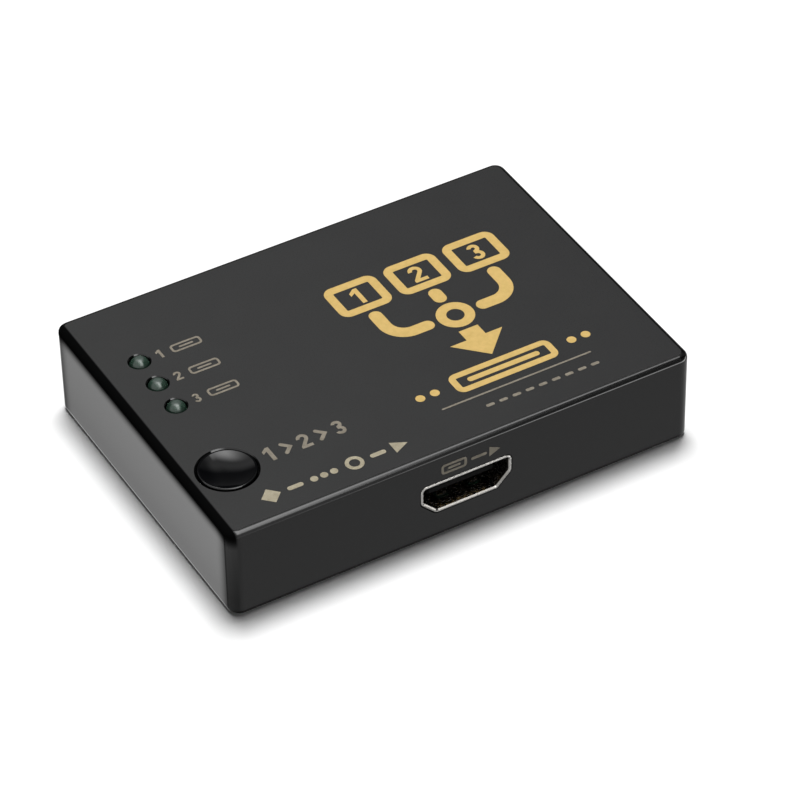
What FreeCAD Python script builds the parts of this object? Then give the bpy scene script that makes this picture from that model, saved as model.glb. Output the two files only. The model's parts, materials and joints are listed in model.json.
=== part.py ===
import FreeCAD, Part
import math
import os

V = FreeCAD.Vector

# ----------------------------------------------------------------------------
# Video switch box: three input ports on the rear long side, one output port
# on the front long side, a select button and three indicator lamps on top.
# Millimetres. Origin at the middle of the underside, +X along the long side,
# -Y towards the output port, +Z up.
# ----------------------------------------------------------------------------

# housing
LENGTH = 76.0          # long side, along X
WIDTH = 54.0           # short side, along Y
HEIGHT = 15.5          # table to the flat top
WALL = 1.8             # side walls
ROOF = 2.0             # top wall
CORNER_R = 1.8         # upright corners
TOP_R = 1.0            # round along the top edges
FOOT_R = 0.9           # round along the bottom edges
REBATE = 0.5           # step in the wall that the base plate seats in
BASE_T = 2.0           # base plate
FIT = 0.08             # gap round the base plate
CEILING = HEIGHT - ROOF

# circuit board
PCB_Z0 = 3.3
PCB_T = 1.6
PCB_TOP = PCB_Z0 + PCB_T
PCB_X = 35.7           # half length
PCB_Y0, PCB_Y1 = -24.7, 22.9

# fixing
BOSS_R = 2.5
BOSS_XY = [(-33.2, -22.2), (33.2, -22.2), (-33.2, 19.4), (33.2, 19.4)]
SCREW_R = 1.1
PILOT_R = 1.05
HEAD_R = 2.0
HEAD_H = 1.2
SCREW_TIP_Z = 11.4

# video ports (nineteen-contact, wide side up)
PORT_IN_W = 14.0       # inside width at the wide side
PORT_IN_H = 4.55       # inside height
PORT_SIDE = 2.45       # straight part of the sides
PORT_FLAT = 4.9        # half width of the narrow side
PORT_T = 0.35          # sheet thickness
PORT_LIP = 0.5         # lip thickness at the mouth
PORT_LIP_D = 0.6       # lip depth
PORT_DEPTH = 11.8
PORT_PROUD = 0.05      # lip stands this far out of the wall
PORT_Z = PCB_TOP + PORT_T          # inside floor of the port
PORT_GAP = 0.12        # gap between the lip and the wall
IN_PITCH = 22.0
TONGUE_W, TONGUE_T, TONGUE_Z = 11.0, 1.1, 2.45
TONGUE_TIP, BLOCK_D = 1.6, 8.0
CONTACT_W, CONTACT_T = 0.35, 0.2

# select button and push switch
BTN_X, BTN_Y = -31.5, -14.4
BTN_R = 4.3
BTN_HOLE_R = 4.5
BTN_TRAVEL = 0.3
BTN_RIM_Z = HEIGHT + 0.15
BTN_FLANGE_R = 5.1
DISH_R = 9.6           # radius of the dished top
DISH_EDGE = 3.95

# lamps
LAMP_XY = [(-31.2, 12.9), (-31.2, 7.2), (-31.2, 1.5)]
LAMP_R = 1.5
LAMP_HOLE_R = 1.62
LAMP_TOP = HEIGHT + 0.7

# power inlet (micro five-contact receptacle) on the right short side
INLET_Y = 0.0
INLET_MOUTH_X = 36.9
INLET_W, INLET_H, INLET_D = 7.5, 2.5, 5.2


# ----------------------------------------------------------------------------
# helpers
# ----------------------------------------------------------------------------
def box(x0, x1, y0, y1, z0, z1):
    return Part.makeBox(x1 - x0, y1 - y0, z1 - z0, V(x0, y0, z0))


def cyl(x, y, z0, z1, r):
    return Part.makeCylinder(r, z1 - z0, V(x, y, z0), V(0, 0, 1))


def prism(points, direction):
    wire = Part.makePolygon([V(*p) for p in points] + [V(*points[0])])
    return Part.Face(wire).extrude(V(*direction))


def upright_edges(s):
    out = []
    for e in s.Edges:
        a, b = e.Vertexes[0].Point, e.Vertexes[-1].Point
        if abs(a.x - b.x) < 1e-6 and abs(a.y - b.y) < 1e-6 and abs(a.z - b.z) > 1e-3:
            out.append(e)
    return out


def edges_at_z(s, z):
    return [e for e in s.Edges if all(abs(v.Point.z - z) < 1e-6 for v in e.Vertexes)
            and abs(e.BoundBox.ZMax - z) < 1e-6 and abs(e.BoundBox.ZMin - z) < 1e-6]


def rounded_block(hx, hy, z0, z1, r, top=0.0, foot=0.0):
    s = box(-hx, hx, -hy, hy, z0, z1)
    s = s.makeFillet(r, upright_edges(s))
    if top:
        s = s.makeFillet(top, edges_at_z(s, z1))
    if foot:
        s = s.makeFillet(foot, edges_at_z(s, z0))
    return s


def fuse(parts):
    s = parts[0]
    if len(parts) > 1:
        s = s.fuse(parts[1:])
    return s.removeSplitter()


def cut(s, tools):
    for t in tools:
        s = s.cut(t)
    return s


def group(solids):
    return Part.Compound(solids)


os.makedirs("parts", exist_ok=True)
made = []


def save(name, shape):
    solids = shape.Solids
    assert solids, name
    for s in solids:
        assert s.isValid() and s.Volume > 0, name
    out = solids[0] if len(solids) == 1 else Part.Compound(solids)
    out.exportStep("parts/%s.step" % name)
    made.append(name)
    b = out.BoundBox
    print("%-30s %3d solids  x %.2f %.2f  y %.2f %.2f  z %.2f %.2f" % (
        name, len(solids), b.XMin, b.XMax, b.YMin, b.YMax, b.ZMin, b.ZMax))


# ----------------------------------------------------------------------------
# video port, drawn in its own frame: u across, d inwards from the mouth, z up
# ----------------------------------------------------------------------------
def port_outline(grow):
    """Points (u, z) of the port's section, moved out by grow."""
    w, h = PORT_IN_W / 2, PORT_IN_H
    zc = h - PORT_SIDE
    k = math.tan(math.radians(22.5))
    g = grow
    return [(-w - g, h + g), (w + g, h + g), (w + g, zc - g * k), (PORT_FLAT + g * k, -g),
            (-PORT_FLAT - g * k, -g), (-w - g, zc - g * k)]


def port_prism(grow, d0, d1, r):
    pts = [(u, d0, z + PORT_Z) for u, z in port_outline(grow)]
    s = prism(pts, (0, d1 - d0, 0))
    edges = [e for e in s.Edges if abs(e.Vertexes[0].Point.y - e.Vertexes[-1].Point.y) > 1e-3]
    return s.makeFillet(r, edges)


def place(s, x, side):
    """side -1: mouth in the front wall; side +1: mouth in the rear wall."""
    s = s.copy()
    mouth = WIDTH / 2 + PORT_PROUD
    if side > 0:
        s.rotate(V(0, 0, 0), V(0, 0, 1), 180)
    s.translate(V(x, side * mouth, 0))
    return s


def strip(path, width, thick, u):
    """A bent sheet strip of constant thickness following (d, z) points."""
    left, right = [], []
    n = len(path)
    for i, (d, z) in enumerate(path):
        dirs = []
        if i > 0:
            dirs.append((path[i][0] - path[i - 1][0], path[i][1] - path[i - 1][1]))
        if i < n - 1:
            dirs.append((path[i + 1][0] - path[i][0], path[i + 1][1] - path[i][1]))
        norms = []
        for a, b in dirs:
            m = math.hypot(a, b)
            norms.append((-b / m, a / m))
        if len(norms) == 2:
            mx, mz = norms[0][0] + norms[1][0], norms[0][1] + norms[1][1]
            m = math.hypot(mx, mz)
            mx, mz = mx / m, mz / m
            c = mx * norms[0][0] + mz * norms[0][1]
            off = thick / 2 / c
        else:
            mx, mz = norms[0]
            off = thick / 2
        left.append((d + mx * off, z + mz * off))
        right.append((d - mx * off, z - mz * off))
    pts = [(u - width / 2, d, z) for d, z in left + right[::-1]]
    return prism(pts, (width, 0, 0))


def make_port_shell():
    body = port_prism(PORT_T, 0.0, PORT_DEPTH, 0.85)
    lip = port_prism(PORT_LIP, 0.0, PORT_LIP_D, 1.0)
    lip_edges = [e for e in lip.Edges if abs(e.BoundBox.YMax) < 1e-6]
    lip = lip.makeFillet(0.15, lip_edges)
    s = fuse([body, lip])
    hole = port_prism(0.0, -1.0, PORT_DEPTH + 1, 0.5)
    s = s.cut(hole)
    # entry chamfer inside the mouth
    front = [e for e in s.Edges if abs(e.BoundBox.YMax) < 1e-6 and e.BoundBox.ZMax < PORT_Z + PORT_IN_H + 0.01
             and e.BoundBox.ZMin > PORT_Z - 0.01 and abs(e.BoundBox.XMax) < PORT_IN_W / 2 + 0.01
             and abs(e.BoundBox.XMin) < PORT_IN_W / 2 + 0.01]
    s = s.makeChamfer(0.18, front)
    # retention fingers: two in the wide wall, two in the narrow wall
    top_in, floor_in = PORT_Z + PORT_IN_H, PORT_Z
    fingers = []
    for u in (-3.7, 3.7):
        s = s.cut(box(u - 1.05, u + 1.05, 2.0, 8.3, top_in - 0.1, top_in + PORT_T + 0.1))
        fingers.append(strip([(8.35, top_in + PORT_T / 2), (7.6, top_in + PORT_T / 2), (3.6, top_in - 0.35),
                              (2.5, top_in + 0.02)], 1.5, 0.22, u))
    for u in (-2.6, 2.6):
        s = s.cut(box(u - 1.05, u + 1.05, 2.0, 8.3, floor_in - PORT_T - 0.1, floor_in + 0.1))
        fingers.append(strip([(8.35, floor_in - PORT_T / 2), (7.6, floor_in - PORT_T / 2), (3.6, floor_in + 0.3),
                              (2.5, floor_in + 0.0)], 1.5, 0.22, u))
    # solder legs through the board
    legs = []
    ux = PORT_IN_W / 2 + PORT_T
    for sgn in (-1, 1):
        for d in (6.6, 10.4):
            a, b = sorted((sgn * ux, sgn * (ux - PORT_T)))
            legs.append(box(a, b, d - 0.6, d + 0.6, PCB_Z0 - 0.6, PORT_Z + PORT_IN_H - 1.5))
    return fuse([s] + fingers + legs)


def contact_rows():
    top = [(-4.5 + i, 1) for i in range(10)]
    low = [(-4.0 + i, -1) for i in range(9)]
    return top + low


def make_contacts():
    out = []
    zc = PORT_Z + TONGUE_Z
    for u, row in contact_rows():
        z = zc + row * (TONGUE_T / 2)                # strip lies in the tongue's face
        back = 12.75 if row > 0 else 12.2
        t = CONTACT_T
        pts = [(TONGUE_TIP + 0.5, z), (back, z), (back, PCB_TOP + t / 2), (back + 0.9, PCB_TOP + t / 2)]
        # the tip turns down into the tongue
        pts = [(TONGUE_TIP + 0.3, z - row * 0.3)] + pts
        out.append(strip(pts, CONTACT_W, t, u))
    return out


def make_insulator():
    block = port_prism(-0.03, BLOCK_D, PORT_DEPTH, 0.5)
    zc = PORT_Z + TONGUE_Z
    tongue = box(-TONGUE_W / 2, TONGUE_W / 2, TONGUE_TIP, BLOCK_D + 0.5, zc - TONGUE_T / 2, zc + TONGUE_T / 2)
    tip = [e for e in tongue.Edges if abs(e.BoundBox.YMax - TONGUE_TIP) < 1e-6]
    tongue = tongue.makeChamfer(0.2, tip)
    return fuse([block, tongue])


PORT_SHELL = make_port_shell()
CONTACTS = make_contacts()
INSULATOR = cut(make_insulator(), [group(CONTACTS)])
assert len(INSULATOR.Solids) == 1, len(INSULATOR.Solids)

PORTS = [("output_port", 0.0, -1), ("input_port_1", IN_PITCH, 1), ("input_port_2", 0.0, 1),
         ("input_port_3", -IN_PITCH, 1)]

for name, x, side in PORTS:
    save(name + "_shell", place(PORT_SHELL, x, side))
    save(name + "_insulator", place(INSULATOR, x, side))
    save(name + "_contacts", group([place(c, x, side) for c in CONTACTS]))

# ----------------------------------------------------------------------------
# upper housing
# ----------------------------------------------------------------------------
OUTER = rounded_block(LENGTH / 2, WIDTH / 2, 0, HEIGHT, CORNER_R, TOP_R, FOOT_R)
cavity = rounded_block(LENGTH / 2 - WALL, WIDTH / 2 - WALL, -1, CEILING, 0.6, 0.5)
seat_in = WALL - REBATE
seat = rounded_block(LENGTH / 2 - seat_in, WIDTH / 2 - seat_in, -1, BASE_T, CORNER_R - seat_in)
shell = OUTER.cut(cavity).cut(seat)

adds = []
ix, iy = LENGTH / 2 - WALL, WIDTH / 2 - WALL
for x, y in BOSS_XY:
    adds.append(cyl(x, y, PCB_TOP, CEILING + 0.5, BOSS_R))
    sx, sy = (1 if x > 0 else -1), (1 if y > 0 else -1)
    a, b = sorted((x, sx * (ix + 0.5)))
    adds.append(box(a, b, y - 0.5, y + 0.5, PCB_TOP + 0.6, CEILING + 0.5))
    a, b = sorted((y, sy * (iy + 0.5)))
    adds.append(box(x - 0.5, x + 0.5, a, b, PCB_TOP + 0.6, CEILING + 0.5))
# guide collar round the button, its wall side left out by the side wall
collar = cyl(BTN_X, BTN_Y, 11.4, CEILING + 0.3, BTN_FLANGE_R + 0.95).cut(
    cyl(BTN_X, BTN_Y, 11.0, CEILING, BTN_FLANGE_R + 0.15)).common(
    box(-ix - 0.3, 0, -iy, iy, 11.0, CEILING + 0.3))
adds.append(collar)
# light collars round the lamps
for x, y in LAMP_XY:
    adds.append(cyl(x, y, 12.6, CEILING + 0.3, 2.55))
# ribs that press on the ports
port_top = PORT_Z + PORT_IN_H + PORT_T
adds.append(box(-30.0, 30.0, 18.6, 19.6, port_top + 0.05, CEILING + 0.3))
adds.append(box(-9.0, 9.0, -19.6, -18.6, port_top + 0.05, CEILING + 0.3))
# two stiffening ribs under the roof
adds.append(box(-22.0, 30.0, -7.5, -6.6, 12.2, CEILING + 0.3))
adds.append(box(-22.0, 30.0, 7.0, 7.9, 12.2, CEILING + 0.3))
shell = fuse([shell] + adds)

cuts = []
for x, y in BOSS_XY:
    cuts.append(cyl(x, y, PCB_TOP - 1, 12.2, PILOT_R))
hole = cyl(BTN_X, BTN_Y, 11.0, HEIGHT + 1, BTN_HOLE_R)
cuts.append(hole)
# the flange's room under the roof, with the side wall's flat face as its key
cuts.append(cyl(BTN_X, BTN_Y, 11.0, CEILING, BTN_FLANGE_R + 0.15).common(box(-ix, 0, -iy, iy, 11.0, CEILING)))
# small chamfer round the button hole
cuts.append(Part.makeCone(BTN_HOLE_R, BTN_HOLE_R + 0.25, 0.25, V(BTN_X, BTN_Y, HEIGHT - 0.2), V(0, 0, 1)))
for x, y in LAMP_XY:
    cuts.append(cyl(x, y, 12.0, HEIGHT + 1, LAMP_HOLE_R))
    cuts.append(cyl(x, y, 12.0, 12.9, 2.05))
    cuts.append(Part.makeCone(LAMP_HOLE_R, LAMP_HOLE_R + 0.2, 0.2, V(x, y, HEIGHT - 0.15), V(0, 0, 1)))
# front: a closed hole with the port's outline
front_hole = place(port_prism(PORT_LIP + PORT_GAP, -2.0, 4.0, 1.1), 0.0, -1)
cuts.append(front_hole)
# rear: three slots, open downwards, so that the board goes in from below
REAR_X = [-IN_PITCH, 0.0, IN_PITCH]
slot_hw = PORT_IN_W / 2 + PORT_LIP + PORT_GAP
for x in REAR_X:
    cuts.append(place(port_prism(PORT_LIP + PORT_GAP, -2.0, 4.0, 1.1), x, 1))
    cuts.append(box(x - slot_hw, x + slot_hw, iy - 2.0, iy + 4.0, -1, PORT_Z + PORT_IN_H - 1.0))
# right side: pocket inside the wall and a window for the power inlet
cuts.append(box(ix - 1.0, LENGTH / 2 - 1.0, INLET_Y - 5.0, INLET_Y + 7.2, -0.5 + BASE_T, 9.0))
win = box(LENGTH / 2 - 2.5, LENGTH / 2 + 1, INLET_Y - INLET_W / 2 - 0.45, INLET_Y + INLET_W / 2 + 0.45,
          PCB_TOP - 0.25, PCB_TOP + INLET_H + 0.45)
win = win.makeFillet(1.0, [e for e in win.Edges if abs(e.BoundBox.XMax - e.BoundBox.XMin) > 3])
cuts.append(win)
shell = cut(shell, cuts)
assert len(shell.Solids) == 1, len(shell.Solids)
save("housing_top_shell", shell)

# ----------------------------------------------------------------------------
# base plate with standoffs and three rear tabs
# ----------------------------------------------------------------------------
bx, by = LENGTH / 2 - seat_in - FIT, WIDTH / 2 - seat_in - FIT
plate = rounded_block(bx, by, 0, BASE_T, CORNER_R - seat_in - FIT, 0.0, 0.25)
parts = [plate]
for x, y in BOSS_XY:
    parts.append(cyl(x, y, BASE_T - 0.5, PCB_Z0, BOSS_R))
for x in (-14.0, 14.0):
    parts.append(box(x - 0.6, x + 0.6, -16.0, 16.0, BASE_T - 0.3, PCB_Z0 - 0.9))
for x in REAR_X:
    tab = box(x - slot_hw + FIT, x + slot_hw - FIT, iy - 0.9, iy + 3.0, 0.0, PORT_Z + PORT_IN_H - 1.6)
    tab = tab.common(OUTER)
    tab = tab.cut(place(port_prism(PORT_LIP + PORT_GAP, -2.0, 6.0, 1.1), x, 1))
    parts.append(tab)
base = fuse(parts)
bcuts = []
for x, y in BOSS_XY:
    bcuts.append(cyl(x, y, -1, HEAD_H + 0.35, HEAD_R + 0.3))
    bcuts.append(cyl(x, y, -1, PCB_Z0 + 1, SCREW_R + 0.15))
# shallow bare panel in the underside
panel = rounded_block(22.0, 13.0, -1, 0.25, 1.5)
bcuts.append(panel)
base = cut(base, bcuts)
assert len(base.Solids) == 1, len(base.Solids)
save("base_plate", base)

# ----------------------------------------------------------------------------
# screws
# ----------------------------------------------------------------------------
def make_screw(x, y):
    z0 = 0.35
    head = cyl(x, y, z0, z0 + HEAD_H, HEAD_R)
    head = head.makeFillet(0.45, edges_at_z(head, z0))
    shaft = cyl(x, y, z0 + HEAD_H - 0.1, SCREW_TIP_Z - 0.9, SCREW_R)
    tip = Part.makeCone(SCREW_R, 0.35, 0.9, V(x, y, SCREW_TIP_Z - 0.9), V(0, 0, 1))
    s = fuse([head, shaft, tip])
    # cross recess
    for ang in (0, 90):
        blade = prism([(-1.15, -0.24, z0 - 0.1), (1.15, -0.24, z0 - 0.1), (0.55, -0.24, z0 + 0.85),
                       (-0.55, -0.24, z0 + 0.85)], (0, 0.48, 0))
        blade.rotate(V(0, 0, 0), V(0, 0, 1), ang + 20)
        blade.translate(V(x, y, 0))
        s = s.cut(blade)
    return s


save("base_screws", group([make_screw(x, y) for x, y in BOSS_XY]))

# ----------------------------------------------------------------------------
# circuit board
# ----------------------------------------------------------------------------
pcb = box(-PCB_X, PCB_X, PCB_Y0, PCB_Y1, PCB_Z0, PCB_TOP)
pcb = pcb.makeFillet(1.0, upright_edges(pcb))
pc = []
for x, y in BOSS_XY:
    pc.append(cyl(x, y, PCB_Z0 - 1, PCB_TOP + 1, SCREW_R + 0.2))
for name, x, side in PORTS:
    for sgn in (-1, 1):
        for d in (6.6, 10.4):
            hx = sgn * (PORT_IN_W / 2 + PORT_T / 2)
            h = box(hx - 0.35, hx + 0.35, d - 0.85, d + 0.85, PCB_Z0 - 1, PCB_TOP + 1)
            pc.append(place(h, x, side))
for x, y in LAMP_XY:
    for dx in (-1.27, 1.27):
        pc.append(cyl(x + dx, y, PCB_Z0 - 1, PCB_TOP + 1, 0.45))
TACT_PINS = [(-3.25, -2.25), (3.25, -2.25), (-3.25, 2.25), (3.25, 2.25)]
for dx, dy in TACT_PINS:
    pc.append(cyl(BTN_X + dx, BTN_Y + dy, PCB_Z0 - 1, PCB_TOP + 1, 0.5))
for dy in (-3.6, 3.6):
    pc.append(box(32.6, 34.4, INLET_Y + dy - 0.35, INLET_Y + dy + 0.35, PCB_Z0 - 1, PCB_TOP + 1))
pcb = cut(pcb, pc)
assert len(pcb.Solids) == 1
save("circuit_board", pcb)

# ----------------------------------------------------------------------------
# push switch: base, cover, snap dome, plunger, terminals
# ----------------------------------------------------------------------------
Z = PCB_TOP
tb = box(BTN_X - 3, BTN_X + 3, BTN_Y - 3, BTN_Y + 3, Z, Z + 3.2)
tb = tb.makeFillet(0.3, upright_edges(tb))
tb = tb.cut(cyl(BTN_X, BTN_Y, Z + 1.7, Z + 4, 2.25))
terms = []
for dx, dy in TACT_PINS:
    sx = 1 if dx > 0 else -1
    a, b = sorted((sx * 3.0, sx * 3.4))
    up = box(BTN_X + a, BTN_X + b, BTN_Y + dy - 0.35, BTN_Y + dy + 0.35, Z + 0.0, Z + 0.9)
    c, d = sorted((sx * 3.1, sx * 3.4))
    down = box(BTN_X + c, BTN_X + d, BTN_Y + dy - 0.3, BTN_Y + dy + 0.3, PCB_Z0 - 0.6, Z + 0.0)
    terms.append(fuse([up, down]))
save("push_switch_base", tb)
save("push_switch_terminals", group(terms))

cover = box(BTN_X - 2.95, BTN_X + 2.95, BTN_Y - 2.95, BTN_Y + 2.95, Z + 3.2, Z + 3.5)
cover = cover.makeFillet(0.3, upright_edges(cover))
cover = cover.cut(cyl(BTN_X, BTN_Y, Z, Z + 5, 1.8))
tabs = []
for sgn in (-1, 1):
    a, b = sorted((sgn * 3.0, sgn * 3.22))
    arm = box(BTN_X - 0.8, BTN_X + 0.8, BTN_Y + a, BTN_Y + b, Z + 1.6, Z + 3.5)
    c, d = sorted((sgn * 2.8, sgn * 3.22))
    top = box(BTN_X - 0.8, BTN_X + 0.8, BTN_Y + c, BTN_Y + d, Z + 3.2, Z + 3.5)
    tabs += [arm, top]
cover = fuse([cover] + tabs)
save("push_switch_cover", cover)

DOME_Z = Z + 1.7


def sphere_cap(r_edge, h, z_base, x, y):
    """Solid cap of a sphere: edge radius r_edge at z_base, height h."""
    R = (r_edge ** 2 + h ** 2) / (2 * h)
    s = Part.makeSphere(R, V(x, y, z_base + h - R))
    return s.common(cyl(x, y, z_base, z_base + h + 1, r_edge + 1))


outer_d = sphere_cap(2.1, 0.65, DOME_Z, BTN_X, BTN_Y)
inner_d = sphere_cap(2.0, 0.55, DOME_Z, BTN_X, BTN_Y)
save("push_switch_dome", outer_d.cut(inner_d))

plunger = fuse([cyl(BTN_X, BTN_Y, DOME_Z + 0.75, Z + 3.15, 2.1),
                cyl(BTN_X, BTN_Y, DOME_Z + 0.66, DOME_Z + 0.8, 0.8),
                cyl(BTN_X, BTN_Y, Z + 3.1, Z + 5.4, 1.7)])
save("push_switch_plunger", plunger)

# ----------------------------------------------------------------------------
# select button cap: dished glossy cap, flange kept under the roof, stem on the plunger
# ----------------------------------------------------------------------------
cap = cyl(BTN_X, BTN_Y, CEILING - 1.0, BTN_RIM_Z, BTN_R)
cap = cap.makeFillet(0.22, edges_at_z(cap, BTN_RIM_Z))
flange = cyl(BTN_X, BTN_Y, CEILING - 1.0, CEILING - 0.06, BTN_FLANGE_R).common(
    box(-ix + 0.2, 0, -iy, iy, 0, CEILING))
stem = cyl(BTN_X, BTN_Y, Z + 4.7, CEILING - 0.9, 2.5)
cap = fuse([cap, flange, stem])
dish_c = BTN_RIM_Z + math.sqrt(DISH_R ** 2 - DISH_EDGE ** 2)
cap = cap.cut(Part.makeSphere(DISH_R, V(BTN_X, BTN_Y, dish_c)))
cap = cap.cut(cyl(BTN_X, BTN_Y, Z + 4.0, Z + 5.4, 1.72))
# moulding recess under the cap
ring = cyl(BTN_X, BTN_Y, CEILING - 1.5, CEILING - 0.1, 3.5).cut(cyl(BTN_X, BTN_Y, CEILING - 2, CEILING, 2.5))
cap = cap.cut(ring)
assert len(cap.Solids) == 1, len(cap.Solids)
save("select_button_cap", cap)

# ----------------------------------------------------------------------------
# lamps and their leads
# ----------------------------------------------------------------------------
for i, (x, y) in enumerate(LAMP_XY, 1):
    body = fuse([cyl(x, y, 11.2, LAMP_TOP - LAMP_R, LAMP_R), Part.makeSphere(LAMP_R, V(x, y, LAMP_TOP - LAMP_R))
                 .common(cyl(x, y, LAMP_TOP - LAMP_R, LAMP_TOP + 1, 3)),
                 cyl(x, y, 11.2, 12.2, 1.9).cut(box(x + 1.55, x + 3, y - 3, y + 3, 11, 13))])
    assert len(body.Solids) == 1
    save("indicator_lamp_%d" % i, body)
    leads = [box(x + dx - 0.22, x + dx + 0.22, y - 0.22, y + 0.22, PCB_Z0 - 0.7, 11.2) for dx in (-1.27, 1.27)]
    save("indicator_lamp_%d_leads" % i, group(leads))

# ----------------------------------------------------------------------------
# power inlet
# ----------------------------------------------------------------------------
def inlet_prism(grow, x0, x1, r):
    w, h = INLET_W / 2 - 0.3, INLET_H - 0.6
    zb = PCB_TOP + 0.3
    k = 0.42
    g = grow
    pts = [(x0, INLET_Y - w - g, zb + h + g), (x0, INLET_Y + w + g, zb + h + g),
           (x0, INLET_Y + w + g, zb + 0.75), (x0, INLET_Y + w - 0.85 + g * k, zb - g),
           (x0, INLET_Y - w + 0.85 - g * k, zb - g), (x0, INLET_Y - w - g, zb + 0.75)]
    s = prism(pts, (x1 - x0, 0, 0))
    return s.makeFillet(r, [e for e in s.Edges if abs(e.BoundBox.XMax - e.BoundBox.XMin) > 1])


m = INLET_MOUTH_X
ish = inlet_prism(0.3, m - INLET_D, m, 0.5).cut(inlet_prism(0.0, m - INLET_D - 1, m + 1, 0.3))
wings = []
for sgn in (-1, 1):
    a, b = sorted((INLET_Y + sgn * (INLET_W / 2 - 0.3), INLET_Y + sgn * (INLET_W / 2)))
    wings.append(box(33.0, 34.0, a, b, PCB_Z0 - 0.5, PCB_TOP + 1.6))
ish = fuse([ish] + wings)
assert len(ish.Solids) == 1, len(ish.Solids)
save("power_inlet_shell", ish)

iblock = inlet_prism(-0.03, m - INLET_D, m - INLET_D + 1.4, 0.25)
tz0, tz1 = PCB_TOP + 1.45, PCB_TOP + 2.0
itongue = box(m - INLET_D + 1.0, m - 0.7, INLET_Y - 1.9, INLET_Y + 1.9, tz0, tz1)
iins = fuse([iblock, itongue])
icon = []
for k in range(5):
    y = INLET_Y - 1.3 + 0.65 * k
    pts = [(m - 1.1, tz0 - 0.02), (m - INLET_D - 0.45, tz0 - 0.02), (m - INLET_D - 0.45, PCB_TOP + 0.08),
           (m - INLET_D - 1.15, PCB_TOP + 0.08)]
    c = strip([(d, z) for d, z in pts], 0.28, 0.16, 0.0)
    # strip() draws across u = x and along d = y: turn it to run along x
    c.rotate(V(0, 0, 0), V(0, 0, 1), -90)
    c.translate(V(0, y, 0))
    icon.append(c)
iins = cut(iins, [group(icon)])
assert len(iins.Solids) == 1, len(iins.Solids)
save("power_inlet_insulator", iins)
save("power_inlet_contacts", group(icon))


# ----------------------------------------------------------------------------
# chips and small parts on the board
# ----------------------------------------------------------------------------
def chip(x, y, sx, sy, h, lift=0.1):
    s = box(x - sx / 2, x + sx / 2, y - sy / 2, y + sy / 2, PCB_TOP + lift, PCB_TOP + lift + h)
    s = s.makeChamfer(0.12, edges_at_z(s, PCB_TOP + lift + h))
    dot = cyl(x - sx / 2 + 0.9, y + sy / 2 - 0.9, PCB_TOP + lift + h - 0.08, PCB_TOP + lift + h + 1, 0.3)
    return s.cut(dot)


def gull(x, y, ang, edge, h, w, reach, t=0.14):
    """One bent lead leaving a package side; edge is the distance to the side."""
    z = PCB_TOP + 0.1 + h / 2
    pts = [(edge, z), (edge + reach * 0.35, z), (edge + reach * 0.5, PCB_TOP + t / 2), (edge + reach, PCB_TOP + t / 2)]
    c = strip(pts, w, t, 0.0)
    c.rotate(V(0, 0, 0), V(0, 0, 1), ang)
    c.translate(V(x, y, 0))
    return c


SW_X, SW_Y = 2.0, 0.0
save("switching_chip", chip(SW_X, SW_Y, 10.0, 10.0, 1.4))
leads = []
for side in range(4):
    ang = 90 * side
    for i in range(16):
        o = (i - 7.5) * 0.5
        a = math.radians(ang)
        leads.append(gull(SW_X + o * math.cos(a), SW_Y + o * math.sin(a), ang, 5.0, 1.4, 0.22, 1.0))
save("switching_chip_leads", group(leads))

CT_X, CT_Y = -17.0, -3.5
save("control_chip", chip(CT_X, CT_Y, 4.9, 3.9, 1.4))
leads = []
for ang in (0, 180):
    for i in range(4):
        o = (i - 1.5) * 1.27
        leads.append(gull(CT_X + o, CT_Y, ang, 1.95, 1.4, 0.4, 1.05))
save("control_chip_leads", group(leads))

RG_X, RG_Y = 22.5, -8.5
save("voltage_regulator", chip(RG_X, RG_Y, 6.5, 3.5, 1.6, 0.05))
leads = []
for i in range(3):
    leads.append(gull(RG_X + (i - 1) * 2.3, RG_Y, 180, 1.75, 1.5, 0.7, 1.7, 0.25))
leads.append(gull(RG_X, RG_Y, 0, 1.75, 1.5, 3.0, 1.7, 0.25))
save("voltage_regulator_leads", group(leads))

# clock crystal: oval can on a thin base
XT_X, XT_Y = -14.5, -14.5
can = box(XT_X - 5.3, XT_X + 5.3, XT_Y - 2.1, XT_Y + 2.1, PCB_TOP + 0.0, PCB_TOP + 3.4)
can = can.makeFillet(2.05, upright_edges(can))
can = can.makeFillet(0.5, edges_at_z(can, PCB_TOP + 3.4))
rim = box(XT_X - 5.6, XT_X + 5.6, XT_Y - 2.35, XT_Y + 2.35, PCB_TOP + 0.0, PCB_TOP + 0.5)
rim = rim.makeFillet(2.3, upright_edges(rim))
save("clock_crystal", fuse([can, rim]))

# electrolytic capacitor: can on a moulded base
EC_X, EC_Y = 19.0, -18.0
eb = box(EC_X - 2.65, EC_X + 2.65, EC_Y - 2.65, EC_Y + 2.65, PCB_TOP, PCB_TOP + 0.9)
eb = eb.makeChamfer(1.0, upright_edges(eb)[:2])
save("electrolytic_capacitor_base", eb)
ec = cyl(EC_X, EC_Y, PCB_TOP + 0.9, PCB_TOP + 5.6, 2.5)
ec = ec.makeFillet(0.3, edges_at_z(ec, PCB_TOP + 5.6))
groove = Part.makeTorus(2.62, 0.22, V(EC_X, EC_Y, PCB_TOP + 1.9), V(0, 0, 1))
save("electrolytic_capacitor_can", ec.cut(groove))

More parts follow.
